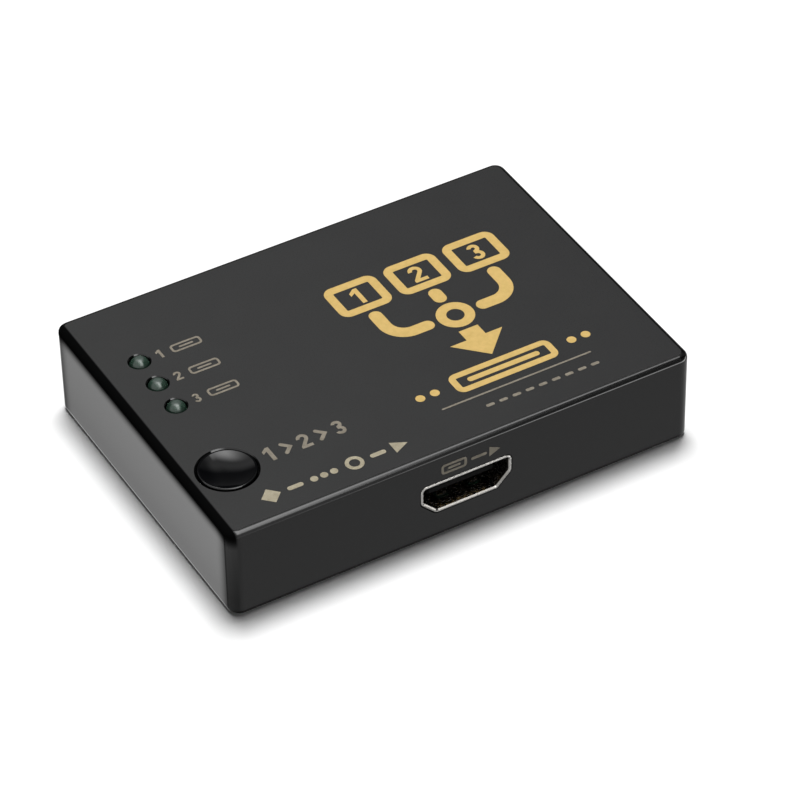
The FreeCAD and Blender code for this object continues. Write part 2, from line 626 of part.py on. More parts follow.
# ceramic capacitors (1.6 x 0.8 x 0.8) and chip resistors (1.6 x 0.8 x 0.45)
cap_at = [(-5.5, 8.4), (-3.0, 8.4), (7.5, 8.4), (10.0, 8.4), (10.6, -3.0), (10.6, 0.0), (10.6, 3.0), (-6.8, -3.0),
          (-6.8, 0.0), (-6.8, 3.0), (27.5, -4.6), (17.0, -4.6), (-20.0, -8.5), (26.5, -14.0)]
save("ceramic_capacitors", group([box(x - 0.8, x + 0.8, y - 0.4, y + 0.4, PCB_TOP, PCB_TOP + 0.8)
                                  for x, y in cap_at]))
res_at = [(-24.0, 12.9), (-24.0, 7.2), (-24.0, 1.5), (-21.0, 4.4), (-21.0, 6.4), (-16.0, 4.4), (-16.0, 6.4),
          (-5.0, -9.6), (-2.0, -9.6), (1.0, -9.6), (4.0, -9.6), (7.0, -9.6), (14.5, 5.0), (14.5, 7.0), (-24.5, -11.0),
          (-24.5, -13.0)]
save("chip_resistors", group([box(x - 0.8, x + 0.8, y - 0.4, y + 0.4, PCB_TOP, PCB_TOP + 0.45)
                              for x, y in res_at]))
# surge-protection arrays beside each port
esd_at = [(-3.0, -12.2), (3.0, -12.2)]
for x in REAR_X:
    esd_at += [(x - 3.0, 10.9), (x + 3.0, 10.9)]
save("surge_protection_arrays", group([box(x - 1.25, x + 1.25, y - 0.5, y + 0.5, PCB_TOP, PCB_TOP + 0.55)
                                       for x, y in esd_at]))

print(len(made), "parts")
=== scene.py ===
import json
import math

import bmesh
import bpy
from mathutils import Matrix, Vector


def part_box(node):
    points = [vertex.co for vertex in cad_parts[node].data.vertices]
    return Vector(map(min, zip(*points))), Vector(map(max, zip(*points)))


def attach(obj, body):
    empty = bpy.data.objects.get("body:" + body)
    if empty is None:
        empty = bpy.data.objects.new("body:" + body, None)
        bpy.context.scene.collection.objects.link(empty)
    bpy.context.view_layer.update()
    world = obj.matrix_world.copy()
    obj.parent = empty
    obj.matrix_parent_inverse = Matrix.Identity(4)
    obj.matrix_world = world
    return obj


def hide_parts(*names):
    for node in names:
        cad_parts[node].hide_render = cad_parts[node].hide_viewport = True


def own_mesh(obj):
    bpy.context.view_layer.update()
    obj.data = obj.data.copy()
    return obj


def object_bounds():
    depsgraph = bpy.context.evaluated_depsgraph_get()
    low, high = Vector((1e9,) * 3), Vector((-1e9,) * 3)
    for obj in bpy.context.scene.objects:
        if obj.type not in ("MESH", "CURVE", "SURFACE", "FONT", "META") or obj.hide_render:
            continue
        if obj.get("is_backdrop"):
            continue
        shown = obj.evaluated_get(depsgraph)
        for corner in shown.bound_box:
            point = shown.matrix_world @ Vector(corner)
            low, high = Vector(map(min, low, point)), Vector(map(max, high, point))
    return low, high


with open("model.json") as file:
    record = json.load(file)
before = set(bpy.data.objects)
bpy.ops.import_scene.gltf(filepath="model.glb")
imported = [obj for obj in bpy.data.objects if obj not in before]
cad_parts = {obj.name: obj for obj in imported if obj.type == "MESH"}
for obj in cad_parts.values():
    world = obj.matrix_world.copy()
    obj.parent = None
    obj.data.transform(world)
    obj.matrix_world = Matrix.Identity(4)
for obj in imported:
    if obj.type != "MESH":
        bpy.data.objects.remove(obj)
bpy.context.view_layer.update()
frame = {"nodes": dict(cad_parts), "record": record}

# Looks for a small flat video port switch. Everything is in metres, in the CAD frame:
# +X along the long side, -Y towards the single output port, +Z up, z = 0 on the floor.

MM = 0.001
NODES = frame["nodes"]
scene = bpy.context.scene

TOP_Z = 15.5      # mm, flat top of the housing
FRONT_Y = -27.0   # mm, front and rear faces
REAR_Y = 27.0

# ---------------------------------------------------------------- camera

cam_data = bpy.data.cameras.new("camera")
cam_data.lens = 191.103
cam_data.sensor_width = 36.0
cam_data.clip_start = 0.02
cam_data.clip_end = 20.0
camera = bpy.data.objects.new("camera", cam_data)
scene.collection.objects.link(camera)
RIGHT = Vector((0.8649177, -0.501678, -0.0153799))
UP = Vector((0.3367811, 0.5573617, 0.7588982))
BACK = Vector((-0.3721504, -0.6615642, 0.6510276))
spin = Matrix((RIGHT, UP, BACK)).transposed().to_4x4()
camera.matrix_world = Matrix.Translation(Vector((-0.2289008, -0.4151164, 0.4102691))) @ spin
scene.camera = camera

# ---------------------------------------------------------------- light

KEY_W = 21.0           # overhead softbox, a little behind: it makes the short soft shadow
FILL = 0.08            # even light of the room on everything that scatters


def direction(azimuth, elevation):
    """Unit vector to a place in the studio; azimuth is counted from +X towards +Y."""
    a, e = math.radians(azimuth), math.radians(elevation)
    return Vector((math.cos(a) * math.cos(e), math.sin(a) * math.cos(e), math.sin(e)))


key_data = bpy.data.lights.new("key_softbox", "AREA")
key_data.shape = "RECTANGLE"
key_data.size = 0.48
key_data.size_y = 0.48
key_data.energy = KEY_W
key = bpy.data.objects.new("key_softbox", key_data)
scene.collection.objects.link(key)
toward = direction(62.0, 78.3)
key.location = toward * 1.3
key.rotation_mode = "QUATERNION"
key.rotation_quaternion = toward.to_track_quat("Z", "Y")
key.visible_camera = False
key.visible_glossy = False     # its mirror image is the softbox of the surroundings below

# The studio as the glossy faces mirror it, by direction only. X is the direction's x, and the
# roll is the angle about the X axis, in degrees: 0 straight up, 90 level in front, -90 level
# behind.
world = bpy.data.worlds.new("studio")
scene.world = world
world.use_nodes = True
world.cycles.sampling_method = "NONE"
wt = world.node_tree
wt.nodes.clear()


def w_math(op, a, b=0.0):
    m = wt.nodes.new("ShaderNodeMath")
    m.operation = op
    for i, v in enumerate((a, b)):
        if hasattr(v, "is_linked"):
            wt.links.new(v, m.inputs[i])
        else:
            m.inputs[i].default_value = v
    return m.outputs[0]


def w_step(src, a, b, low, high):
    """Smooth change of a value from low to high while src goes from a to b."""
    m = wt.nodes.new("ShaderNodeMapRange")
    m.interpolation_type = "SMOOTHSTEP"
    if a > b:
        a, b, low, high = b, a, high, low
    for k, v in (("From Min", a), ("From Max", b), ("To Min", low), ("To Max", high)):
        m.inputs[k].default_value = v
    wt.links.new(src, m.inputs["Value"])
    return m.outputs["Result"]


def w_all(*factors):
    out = factors[0]
    for f in factors[1:]:
        out = w_math("MULTIPLY", out, f)
    return out


def w_sum(*terms):
    out = terms[0]
    for t in terms[1:]:
        out = w_math("ADD", out, t)
    return out


def w_lobe(centre, inner, outer, amount):
    """A round patch: amount within inner degrees of centre, nothing beyond outer."""
    dot = wt.nodes.new("ShaderNodeVectorMath")
    dot.operation = "DOT_PRODUCT"
    dot.inputs[1].default_value = Vector(centre).normalized()
    wt.links.new(w_dir.outputs["Vector"], dot.inputs[0])
    return w_step(dot.outputs["Value"], math.cos(math.radians(outer)), math.cos(math.radians(inner)), 0.0, amount)


w_co = wt.nodes.new("ShaderNodeTexCoord")
w_dir = wt.nodes.new("ShaderNodeVectorMath")
w_dir.operation = "NORMALIZE"
wt.links.new(w_co.outputs["Generated"], w_dir.inputs[0])
w_xyz = wt.nodes.new("ShaderNodeSeparateXYZ")
wt.links.new(w_dir.outputs["Vector"], w_xyz.inputs[0])
X, Z = w_xyz.outputs["X"], w_xyz.outputs["Z"]
roll = w_math("MULTIPLY", w_math("ARCTAN2", w_math("MULTIPLY", w_xyz.outputs["Y"], -1.0), Z), 180.0 / math.pi)

# behind and above: dark low down, paler upwards and towards the left, black far to the left
lift = w_sum(roll, w_math("MULTIPLY", w_math("MAXIMUM", w_math("SUBTRACT", 0.345, X), 0.0), 46.0))
rear = w_all(w_step(lift, -45, -21, 0.08, 1.0), w_step(roll, 10, 30, 1.0, 0.0),
             w_step(X, -0.44, -0.20, 0.08, 1.0), w_step(X, 0.48, 0.68, 1.0, 0.25))
# the softbox overhead, which reaches forward on the left and hardly at all on the right
slant = w_sum(X, w_math("MULTIPLY", roll, 0.0006), w_step(roll, 6, 22, -0.075, 0.0))
softbox = w_all(w_step(lift, -15, 12, 0.0, 9.4), w_step(roll, 42, 64, 1.0, 0.0),
                w_step(slant, 0.362, 0.402, 1.0, 0.0), w_step(X, -0.30, 0.10, 0.18, 1.0))
# in front, above the horizon: a wall that is dark on the right, and a pale strip at its foot
wall = w_all(w_step(roll, 38, 60, 0.0, 1.0), w_step(roll, 88, 100, 1.0, 0.0), w_step(X, 0.350, 0.395, 1.30, 0.25))
strip = w_all(w_step(roll, 94, 108, 0.0, 1.0), w_step(roll, 122, 133, 1.0, 0.0), w_step(X, 0.345, 0.412, 1.1, 8.6))
# the pale table, dark right under the object, and a bright card low behind on the left
table = w_all(w_step(Z, 0.0, -0.14, 0.0, 0.73), w_step(Z, -0.72, -0.84, 1.0, 0.08))
left = w_lobe((-0.52, 0.80, -0.05), 34, 46, 1.0)
table = w_all(table, w_math("SUBTRACT", 1.0, left))
card = w_lobe((0.05, 0.72, -0.69), 24.5, 31, 0.78)
room = w_sum(w_all(w_sum(rear, softbox, wall, strip), w_step(Z, -0.45, -0.30, 0.0, 1.0)), table, card, 0.015)

w_out = wt.nodes.new("ShaderNodeOutputWorld")
w_path = wt.nodes.new("ShaderNodeLightPath")


def w_background(strength):
    n = wt.nodes.new("ShaderNodeBackground")
    n.inputs["Color"].default_value = (1, 1, 1, 1)
    if hasattr(strength, "is_linked"):
        wt.links.new(strength, n.inputs["Strength"])
    else:
        n.inputs["Strength"].default_value = strength
    return n.outputs[0]


def w_choose(flag, otherwise, chosen):
    n = wt.nodes.new("ShaderNodeMixShader")
    wt.links.new(w_path.outputs[flag], n.inputs["Fac"])
    wt.links.new(otherwise, n.inputs[1])
    wt.links.new(chosen, n.inputs[2])
    return n.outputs[0]


lit = w_choose("Is Glossy Ray", w_background(FILL), w_background(room))
wt.links.new(w_choose("Is Camera Ray", lit, w_background(1.0)), w_out.inputs["Surface"])

scene.view_settings.view_transform = "Standard"
scene.view_settings.look = "None"
scene.view_settings.exposure = 0.0
scene.view_settings.gamma = 1.0

# ---------------------------------------------------------------- material helper


class Finish:
    """One procedural material: a Principled shader and short ways to drive it."""

    def __init__(self, name):
        self.mat = bpy.data.materials.new(name)
        self.mat.use_nodes = True
        self.tree = self.mat.node_tree
        self.tree.nodes.clear()
        self.out = self.add("ShaderNodeOutputMaterial")
        self.bsdf = self.add("ShaderNodeBsdfPrincipled")
        self.link(self.bsdf.outputs[0], self.out.inputs["Surface"])
        self.co = self.add("ShaderNodeTexCoord")
        scale = self.add("ShaderNodeVectorMath")
        scale.operation = "SCALE"
        scale.inputs["Scale"].default_value = 1000.0
        self.link(self.co.outputs["Object"], scale.inputs[0])
        self.mm = scale.outputs["Vector"]      # object position in millimetres

    def add(self, kind):
        return self.tree.nodes.new(kind)

    def link(self, a, b):
        self.tree.links.new(a, b)

    def put(self, socket, value):
        if hasattr(value, "is_linked"):
            self.link(value, self.bsdf.inputs[socket])
        elif isinstance(value, (tuple, list)) and len(value) == 3 and socket != "Normal":
            self.bsdf.inputs[socket].default_value = (*value, 1.0)
        else:
            self.bsdf.inputs[socket].default_value = value
        return self

    def stretch(self, sx, sy, sz, vec=None):
        m = self.add("ShaderNodeVectorMath")
        m.operation = "MULTIPLY"
        m.inputs[1].default_value = (sx, sy, sz)
        self.link(vec or self.mm, m.inputs[0])
        return m.outputs["Vector"]

    def noise(self, size, detail=2.0, rough=0.5, vec=None, warp=0.0):
        """Noise whose blobs are about size millimetres across."""
        n = self.add("ShaderNodeTexNoise")
        n.noise_dimensions = "3D"
        n.inputs["Scale"].default_value = 1.0 / size
        n.inputs["Detail"].default_value = detail
        n.inputs["Roughness"].default_value = rough
        n.inputs["Distortion"].default_value = warp
        self.link(vec or self.mm, n.inputs["Vector"])
        return n.outputs["Fac"]

    def cells(self, size, feature="F1", vec=None):
        n = self.add("ShaderNodeTexVoronoi")
        n.feature = feature
        n.inputs["Scale"].default_value = 1.0 / size
        self.link(vec or self.mm, n.inputs["Vector"])
        return n.outputs["Distance"]

    def remap(self, src, a, b, c, d, smooth=False):
        m = self.add("ShaderNodeMapRange")
        if smooth:
            m.interpolation_type = "SMOOTHSTEP"
        m.clamp = True
        for k, v in (("From Min", a), ("From Max", b), ("To Min", c), ("To Max", d)):
            m.inputs[k].default_value = v
        self.link(src, m.inputs["Value"])
        return m.outputs["Result"]

    def calc(self, op, a, b):
        m = self.add("ShaderNodeMath")
        m.operation = op
        for i, v in enumerate((a, b)):
            if hasattr(v, "is_linked"):
                self.link(v, m.inputs[i])
            else:
                m.inputs[i].default_value = v
        return m.outputs[0]

    def blend(self, fac, a, b):
        """Colour a where fac is 0, b where it is 1."""
        m = self.add("ShaderNodeMix")
        m.data_type = "RGBA"
        self.link(fac, m.inputs["Factor"])
        for k, v in (("A", a), ("B", b)):
            socket = [s for s in m.inputs if s.name == k and s.type == "RGBA"][0]
            if hasattr(v, "is_linked"):
                self.link(v, socket)
            else:
                socket.default_value = (*v, 1.0)
        return [s for s in m.outputs if s.type == "RGBA"][0]

    def mixf(self, fac, a, b):
        m = self.add("ShaderNodeMix")
        m.data_type = "FLOAT"
        self.link(fac, m.inputs["Factor"])
        for k, v in (("A", a), ("B", b)):
            socket = [s for s in m.inputs if s.name == k and s.type == "VALUE"][0]
            if hasattr(v, "is_linked"):
                self.link(v, socket)
            else:
                socket.default_value = v
        return [s for s in m.outputs if s.type == "VALUE"][0]

    def normal_z(self):
        s = self.add("ShaderNodeSeparateXYZ")
        self.link(self.co.outputs["Normal"], s.inputs[0])
        return s.outputs["Z"]

    def axis(self, name, vec=None):
        s = self.add("ShaderNodeSeparateXYZ")
        self.link(vec or self.mm, s.inputs[0])
        return s.outputs[name]

    def bump(self, height, depth_mm, strength=1.0, after=None):
        b = self.add("ShaderNodeBump")
        b.inputs["Strength"].default_value = strength
        b.inputs["Distance"].default_value = depth_mm * MM
        self.link(height, b.inputs["Height"])
        if after is not None:
            self.link(after, b.inputs["Normal"])
        return b.outputs["Normal"]


# ---------------------------------------------------------------- finishes


def housing_finish():
    """Black moulded plastic: fine satin texture on the flat top, polished edges and sides, with a painted sheen and a
    painted fall-off of light on the top, and painted dark reflection bands and painted shade in the gloss at the left
    end and the foot.
    """
    f = Finish("housing_plastic")
    nz = f.normal_z()
    top = f.remap(nz, 0.978, 0.994, 0.0, 1.0, smooth=True)
    cloud = f.noise(9.0, 3.0, 0.55)
    grain = f.noise(0.16, 2.0, 0.6)
    haze = f.noise(2.4, 4.0, 0.6, warp=0.6)
    deep = f.blend(cloud, (0.0020, 0.0021, 0.0022), (0.0030, 0.0031, 0.0031))
    # painted light on the top: its grey is partly the satin plastic's own tone and partly a painted sheen standing in
    # for its reflection, with random cloud and a painted fall-off of light from left to right; the top's left margin
    # keeps the deep black as a painted dark reflection band
    cloud_and_painted_falloff = f.calc("ADD", f.calc("MULTIPLY", cloud, 0.35), f.remap(f.axis("X"), -38.0, 38.0, 0.62, 0.0))
    satin_and_painted_sheen = f.blend(cloud_and_painted_falloff, (0.0286, 0.0286, 0.0290), (0.0420, 0.0423, 0.0421))
    painted_sheen_mask = f.calc("MULTIPLY", f.remap(nz, 0.985, 0.999, 0.0, 1.0), f.remap(f.axis("X"), -36.95, -36.72, 0.0, 1.0))
    f.put("Base Color", f.blend(painted_sheen_mask, deep, satin_and_painted_sheen))
    satin = f.remap(grain, 0.3, 0.7, 0.26, 0.32)
    polish = f.remap(haze, 0.3, 0.75, 0.065, 0.12)
    x, y, z = f.axis("X"), f.calc("ABSOLUTE", f.axis("Y"), 0.0), f.axis("Z")
    foot = f.remap(nz, -0.45, -0.12, 0.0, 1.0)
    # the rounding over the two long sides is a little less polished than the walls
    round_off = f.calc("MULTIPLY", f.remap(y, 26.0, 26.1, 0.0, 1.0), f.remap(nz, 0.10, 0.45, 0.0, 1.0))
    f.put("Roughness", f.mixf(foot, 0.50, f.mixf(top, f.mixf(round_off, polish, 0.13), satin)))
    f.put("IOR", 1.36)
    orange = f.bump(f.noise(1.7, 2.0, 0.5), 0.0035, 0.35)
    fine = f.bump(f.calc("MULTIPLY", grain, top), 0.0022, 0.45, after=orange)
    f.put("Normal", fine)
    # painted shade in the gloss: it fades under the foot of the walls, and over the upper and outer margins of the left
    # end as painted dark reflection bands; on the left end it also grows from the bottom upwards, and on the flat top
    # it is kept low because the top's sheen is painted into its colour
    body = f.remap(z, 3.0, 12.5, 0.44, 0.93)
    brow = f.calc("POWER", f.remap(z, 12.25, 14.85, 1.0, 0.02, smooth=True), 2.2)
    cheek = f.calc("MAXIMUM", f.remap(y, 22.6, 25.2, 1.0, 0.10, smooth=True), f.remap(y, 25.2, 26.3, 0.0, 0.75))
    end = f.calc("MULTIPLY", f.calc("MULTIPLY", body, brow), cheek)
    gloss = f.mixf(f.remap(x, -36.95, -36.6, 1.0, 0.0), f.remap(nz, 0.990, 0.9992, 0.5, 0.08), end)
    f.put("Specular IOR Level", f.mixf(foot, 0.30, gloss))
    return f.mat


def base_finish():
    """Black plastic with a coarse spark-eroded texture, for the cover underneath."""
    f = Finish("base_plastic")
    grit = f.noise(0.35, 3.0, 0.65)
    cloud = f.noise(12.0, 2.0)
    f.put("Base Color", f.blend(cloud, (0.006, 0.006, 0.0065), (0.011, 0.011, 0.0115)))
    f.put("Roughness", f.remap(grit, 0.3, 0.7, 0.46, 0.62))
    f.put("IOR", 1.45)
    f.put("Normal", f.bump(grit, 0.012, 0.6))
    return f.mat


def button_finish():
    """Polished black cap."""
    f = Finish("button_plastic")
    haze = f.noise(1.1, 3.0, 0.6)
    rub = f.noise(0.5, 2.0, 0.6, vec=f.stretch(0.35, 1.0, 1.0))
    f.put("Base Color", f.blend(haze, (0.0006, 0.0007, 0.0010), (0.0013, 0.0014, 0.0019)))
    f.put("Specular IOR Level", 0.37)
    f.put("Roughness", f.remap(rub, 0.3, 0.75, 0.035, 0.085))
    f.put("IOR", 1.40)
    f.put("Normal", f.bump(haze, 0.0015, 0.3))
    return f.mat


def lamp_finish():
    """Green-tinted resin with a cloudy tone: the crown is painted pale as a highlight, and the rim is dark green,
    partly painted shade.
    """
    f = Finish("lamp_resin")
    cloud = f.noise(0.9, 2.0, 0.5)
    # painted highlight on the crown of the dome, painted shade towards its rim
    crown = f.remap(f.normal_z(), 0.80, 0.97, 0.0, 1.0, smooth=True)
    pale = f.blend(cloud, (0.050, 0.067, 0.058), (0.066, 0.085, 0.075))
    f.put("Base Color", f.blend(crown, (0.0145, 0.0330, 0.0225), pale))
    f.put("Roughness", f.remap(cloud, 0.3, 0.7, 0.24, 0.32))
    f.put("IOR", 1.46)
    f.put("Normal", f.bump(cloud, 0.002, 0.2))
    return f.mat


def port_steel_finish():
    """Nickel plated sheet with faint drawing lines: the flared rim is bright, and the walls behind it are darkened as
    painted shade.
    """
    f = Finish("port_steel")
    lines = f.noise(0.10, 2.0, 0.6, vec=f.stretch(0.12, 0.5, 1.0))
    patch = f.noise(1.6, 3.0, 0.6)
    f.put("Metallic", 1.0)
    # painted shade inside the ports: only the flared mouths keep the bright plating, the walls behind them are darkened
    ends = f.remap(f.calc("ABSOLUTE", f.axis("Y"), 0.0), 26.90, 27.00, 0.0, 1.0)
    rim = f.calc("MAXIMUM", ends, f.remap(f.axis("X"), 36.65, 36.78, 0.0, 1.0))
    # the rim is darkened where it faces up, a painted dark reflection
    rim = f.calc("MULTIPLY", rim, f.remap(f.normal_z(), -0.10, 0.45, 1.0, 0.12))
    # painted dark reflection: the rim is darkened over its lower bends
    bends = f.calc("MAXIMUM", f.remap(f.axis("Z"), 4.9, 5.4, 0.66, 0.44), f.remap(f.axis("Z"), 6.8, 7.6, 0.48, 1.0))
    rim = f.calc("MULTIPLY", rim, bends)
    painted_shade_steel = f.blend(patch, (0.150, 0.145, 0.135), (0.200, 0.192, 0.180))
    bright = f.blend(patch, (0.43, 0.42, 0.405), (0.53, 0.52, 0.505))
    f.put("Base Color", f.blend(rim, painted_shade_steel, bright))
    f.put("Roughness", f.remap(lines, 0.25, 0.75, 0.20, 0.32))
    f.put("Normal", f.bump(lines, 0.0015, 0.4))
    return f.mat


def spring_steel_finish():
    f = Finish("spring_steel")
    lines = f.noise(0.08, 2.0, 0.6, vec=f.stretch(1.0, 0.1, 1.0))
    f.put("Metallic", 1.0)
    f.put("Base Color", f.blend(f.noise(1.0), (0.50, 0.50, 0.50), (0.62, 0.62, 0.61)))
    f.put("Roughness", f.remap(lines, 0.25, 0.75, 0.22, 0.36))
    f.put("Normal", f.bump(lines, 0.0015, 0.4))
    return f.mat


def insulator_finish():
    """Black glass-filled plastic, matt with a faint fibre pattern."""
    f = Finish("insulator_plastic")
    fibre = f.noise(0.22, 3.0, 0.7, vec=f.stretch(1.0, 0.3, 1.0))
    f.put("Base Color", f.blend(fibre, (0.0025, 0.0025, 0.0025), (0.0055, 0.0055, 0.0055)))
    f.put("Roughness", f.remap(fibre, 0.3, 0.7, 0.50, 0.66))
    f.put("IOR", 1.33)
    f.put("Specular IOR Level", 0.06)
    f.put("Normal", f.bump(fibre, 0.004, 0.5))
    return f.mat


def contact_finish():
    f = Finish("contact_gold")
    wear = f.noise(0.35, 3.0, 0.6)
    f.put("Metallic", 1.0)
    f.put("Base Color", f.blend(wear, (0.56, 0.38, 0.15), (0.68, 0.50, 0.25)))
    f.put("Roughness", f.remap(wear, 0.3, 0.7, 0.18, 0.32))
    f.put("Normal", f.bump(f.noise(0.12), 0.001, 0.3))
    return f.mat


def screw_finish():
    f = Finish("screw_steel")
    mottled = f.noise(0.45, 4.0, 0.65)
    f.put("Metallic", 1.0)
    f.put("Base Color", f.blend(mottled, (0.34, 0.34, 0.36), (0.50, 0.50, 0.51)))
    f.put("Roughness", f.remap(mottled, 0.3, 0.7, 0.26, 0.44))
    f.put("Normal", f.bump(f.noise(0.15, 3.0), 0.003, 0.4))
    return f.mat


def board_finish():
    """Green solder mask over faint copper lines, edge of the glass laminate paler."""
    f = Finish("board_laminate")
    grid = f.stretch(0.9, 0.9, 0.0)
    lanes = f.cells(1.6, "DISTANCE_TO_EDGE", vec=grid)
    copper = f.remap(lanes, 0.10, 0.16, 1.0, 0.0)
    weave = f.noise(0.5, 2.0, 0.5)
    mask = f.blend(copper, (0.0020, 0.0140, 0.0070), (0.0040, 0.0240, 0.0115))
    edge = f.remap(f.calc("ABSOLUTE", f.normal_z(), 0.0), 0.2, 0.6, 0.0, 1.0)
    rim = f.blend(weave, (0.24, 0.26, 0.10), (0.34, 0.35, 0.15))
    f.put("Base Color", f.blend(edge, rim, mask))
    f.put("Roughness", f.mixf(edge, 0.7, f.remap(weave, 0.3, 0.7, 0.28, 0.40)))
    f.put("Normal", f.bump(copper, 0.02, 0.6, after=f.bump(weave, 0.004, 0.4)))
    return f.mat


def chip_finish():
    f = Finish("chip_resin")
    grit = f.noise(0.18, 3.0, 0.7)
    f.put("Base Color", f.blend(grit, (0.012, 0.012, 0.013), (0.026, 0.026, 0.028)))
    f.put("Roughness", f.remap(grit, 0.3, 0.7, 0.50, 0.68))
    f.put("Normal", f.bump(grit, 0.006, 0.6))
    return f.mat


def lead_finish():
    f = Finish("lead_tin")
    frost = f.noise(0.20, 4.0, 0.7)
    f.put("Metallic", 1.0)
    f.put("Base Color", f.blend(frost, (0.58, 0.58, 0.59), (0.76, 0.76, 0.76)))
    f.put("Roughness", f.remap(frost, 0.3, 0.7, 0.26, 0.46))
    f.put("Normal", f.bump(frost, 0.003, 0.4))
    return f.mat


def can_finish():
    f = Finish("can_metal")
    drawn = f.noise(0.12, 2.0, 0.6, vec=f.stretch(1.0, 1.0, 0.15))
    f.put("Metallic", 1.0)
    f.put("Base Color", f.blend(f.noise(1.5), (0.68, 0.68, 0.69), (0.80, 0.80, 0.81)))
    f.put("Roughness", f.remap(drawn, 0.3, 0.7, 0.20, 0.34))
    f.put("Normal", f.bump(drawn, 0.002, 0.4))
    return f.mat


def ceramic_finish():
    f = Finish("ceramic_tan")
    speck = f.noise(0.14, 3.0, 0.6)
    f.put("Base Color", f.blend(speck, (0.34, 0.24, 0.15), (0.48, 0.37, 0.24)))
    f.put("Roughness", f.remap(speck, 0.3, 0.7, 0.40, 0.60))
    f.put("Normal", f.bump(speck, 0.003, 0.4))
    return f.mat


def ink_finish(name, thin, thick):
    """Gold printing ink: a little uneven in density, soft sheen."""
    f = Finish(name)
    density = f.noise(0.9, 4.0, 0.65)
    speck = f.noise(0.12, 2.0, 0.6)
    both = f.calc("ADD", f.calc("MULTIPLY", density, 0.7), f.calc("MULTIPLY", speck, 0.3))
    f.put("Base Color", f.blend(f.remap(both, 0.35, 0.62, 0.0, 1.0), thin, thick))
    f.put("Roughness", f.remap(speck, 0.3, 0.7, 0.42, 0.56))
    f.put("IOR", 1.40)
    f.put("Normal", f.bump(speck, 0.002, 0.5))
    return f.mat


FINISHES = {
    "housing_plastic": housing_finish,
    "base_plastic": base_finish,
    "button_plastic": button_finish,
    "lamp_resin": lamp_finish,
    "port_steel": port_steel_finish,
    "spring_steel": spring_steel_finish,
    "insulator_plastic": insulator_finish,
    "contact_gold": contact_finish,
    "screw_steel": screw_finish,
    "board_laminate": board_finish,
    "chip_resin": chip_finish,
    "lead_tin": lead_finish,
    "can_metal": can_finish,
    "ceramic_tan": ceramic_finish,
}
MATERIALS = {slot: make() for slot, make in FINISHES.items()}
for part in frame["record"]["subparts"]:
    node = NODES[part["node"]]
    finish = MATERIALS[part["material_slot"]]
    if not node.material_slots:
        node.data.materials.append(finish)
    for s in node.material_slots:
        s.material = finish

GOLD = ink_finish("gold_ink", (0.50, 0.345, 0.115), (0.58, 0.405, 0.150))
PALE_GOLD = ink_finish("pale_gold_ink", (0.255, 0.225, 0.160), (0.36, 0.325, 0.240))
DULL_GOLD = ink_finish("dull_gold_ink", (0.155, 0.137, 0.108), (0.225, 0.202, 0.163))
FADED_GOLD = ink_finish("faded_gold_ink", (0.130, 0.114, 0.085), (0.20, 0.178, 0.135))

# ---------------------------------------------------------------- snap dome

# The spring under the plunger: a thin spherical cap in one fixed shape; on the real switch the button presses it
# flatter.
lo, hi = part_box("push_switch_dome")
DOME_X, DOME_Y, DOME_Z = (lo.x + hi.x) / 2, (lo.y + hi.y) / 2, lo.z


def cap_arc(edge, rise, n=14):
    """Points from the crown to the edge of a spherical cap: distance from its axis, and height over its edge."""
    edge, rise = edge * MM, rise * MM
    ball = (edge ** 2 + rise ** 2) / (2 * rise)
    turn = math.asin(edge / ball)
    return [(ball * math.sin(turn * i / n), rise - ball + ball * math.cos(turn * i / n)) for i in range(n + 1)]


profile = cap_arc(2.098, 0.649) + cap_arc(2.0, 0.55)[::-1]
bm = bmesh.new()
turned = []
for r, h in profile:
    if r < 1e-9:
        turned.append([bm.verts.new((DOME_X, DOME_Y, DOME_Z + h))])
    else:
        turned.append([bm.verts.new((DOME_X + r * math.cos(math.tau * i / 48), DOME_Y + r * math.sin(math.tau * i / 48),
                                     DOME_Z + max(h, 0.0))) for i in range(48)])
for a, b in zip(turned, turned[1:]):
    for i in range(48):
        j = (i + 1) % 48
        if len(a) == 1:
            bm.faces.new((a[0], b[i], b[j]))
        elif len(b) == 1:
            bm.faces.new((a[i], b[0], a[j]))
        else:
            bm.faces.new((a[i], b[i], b[j], a[j]))
bmesh.ops.recalc_face_normals(bm, faces=bm.faces)
dome_mesh = bpy.data.meshes.new("snap_dome")
bm.to_mesh(dome_mesh)
bm.free()
for face in dome_mesh.polygons:
    face.use_smooth = True
dome_mesh.materials.append(MATERIALS["spring_steel"])
dome = bpy.data.objects.new("snap_dome", dome_mesh)
scene.collection.objects.link(dome)
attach(dome, "box")
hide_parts("push_switch_dome")
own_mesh(dome)

# ---------------------------------------------------------------- printed marks

INK_T = 0.020     # mm, how far the ink stands proud
INK_S = 0.004     # mm, how far it is keyed into the surface


def arc(cx, cy, r, a0, a1, n=16):
    return [(cx + r * math.cos(math.radians(a0 + (a1 - a0) * i / n)),
             cy + r * math.sin(math.radians(a0 + (a1 - a0) * i / n))) for i in range(n + 1)]


def circle(cx, cy, r, n=40):
    return arc(cx, cy, r, 0, 360 * (n - 1) / n, n - 1)


def round_rect(cx, cy, w, h, r, n=8):
    x, y = w / 2 - r, h / 2 - r
    out = []
    for sx, sy, a in ((1, 1, 0), (-1, 1, 90), (-1, -1, 180), (1, -1, 270)):
        out += arc(cx + sx * x, cy + sy * y, r, a, a + 90, n)
    return out


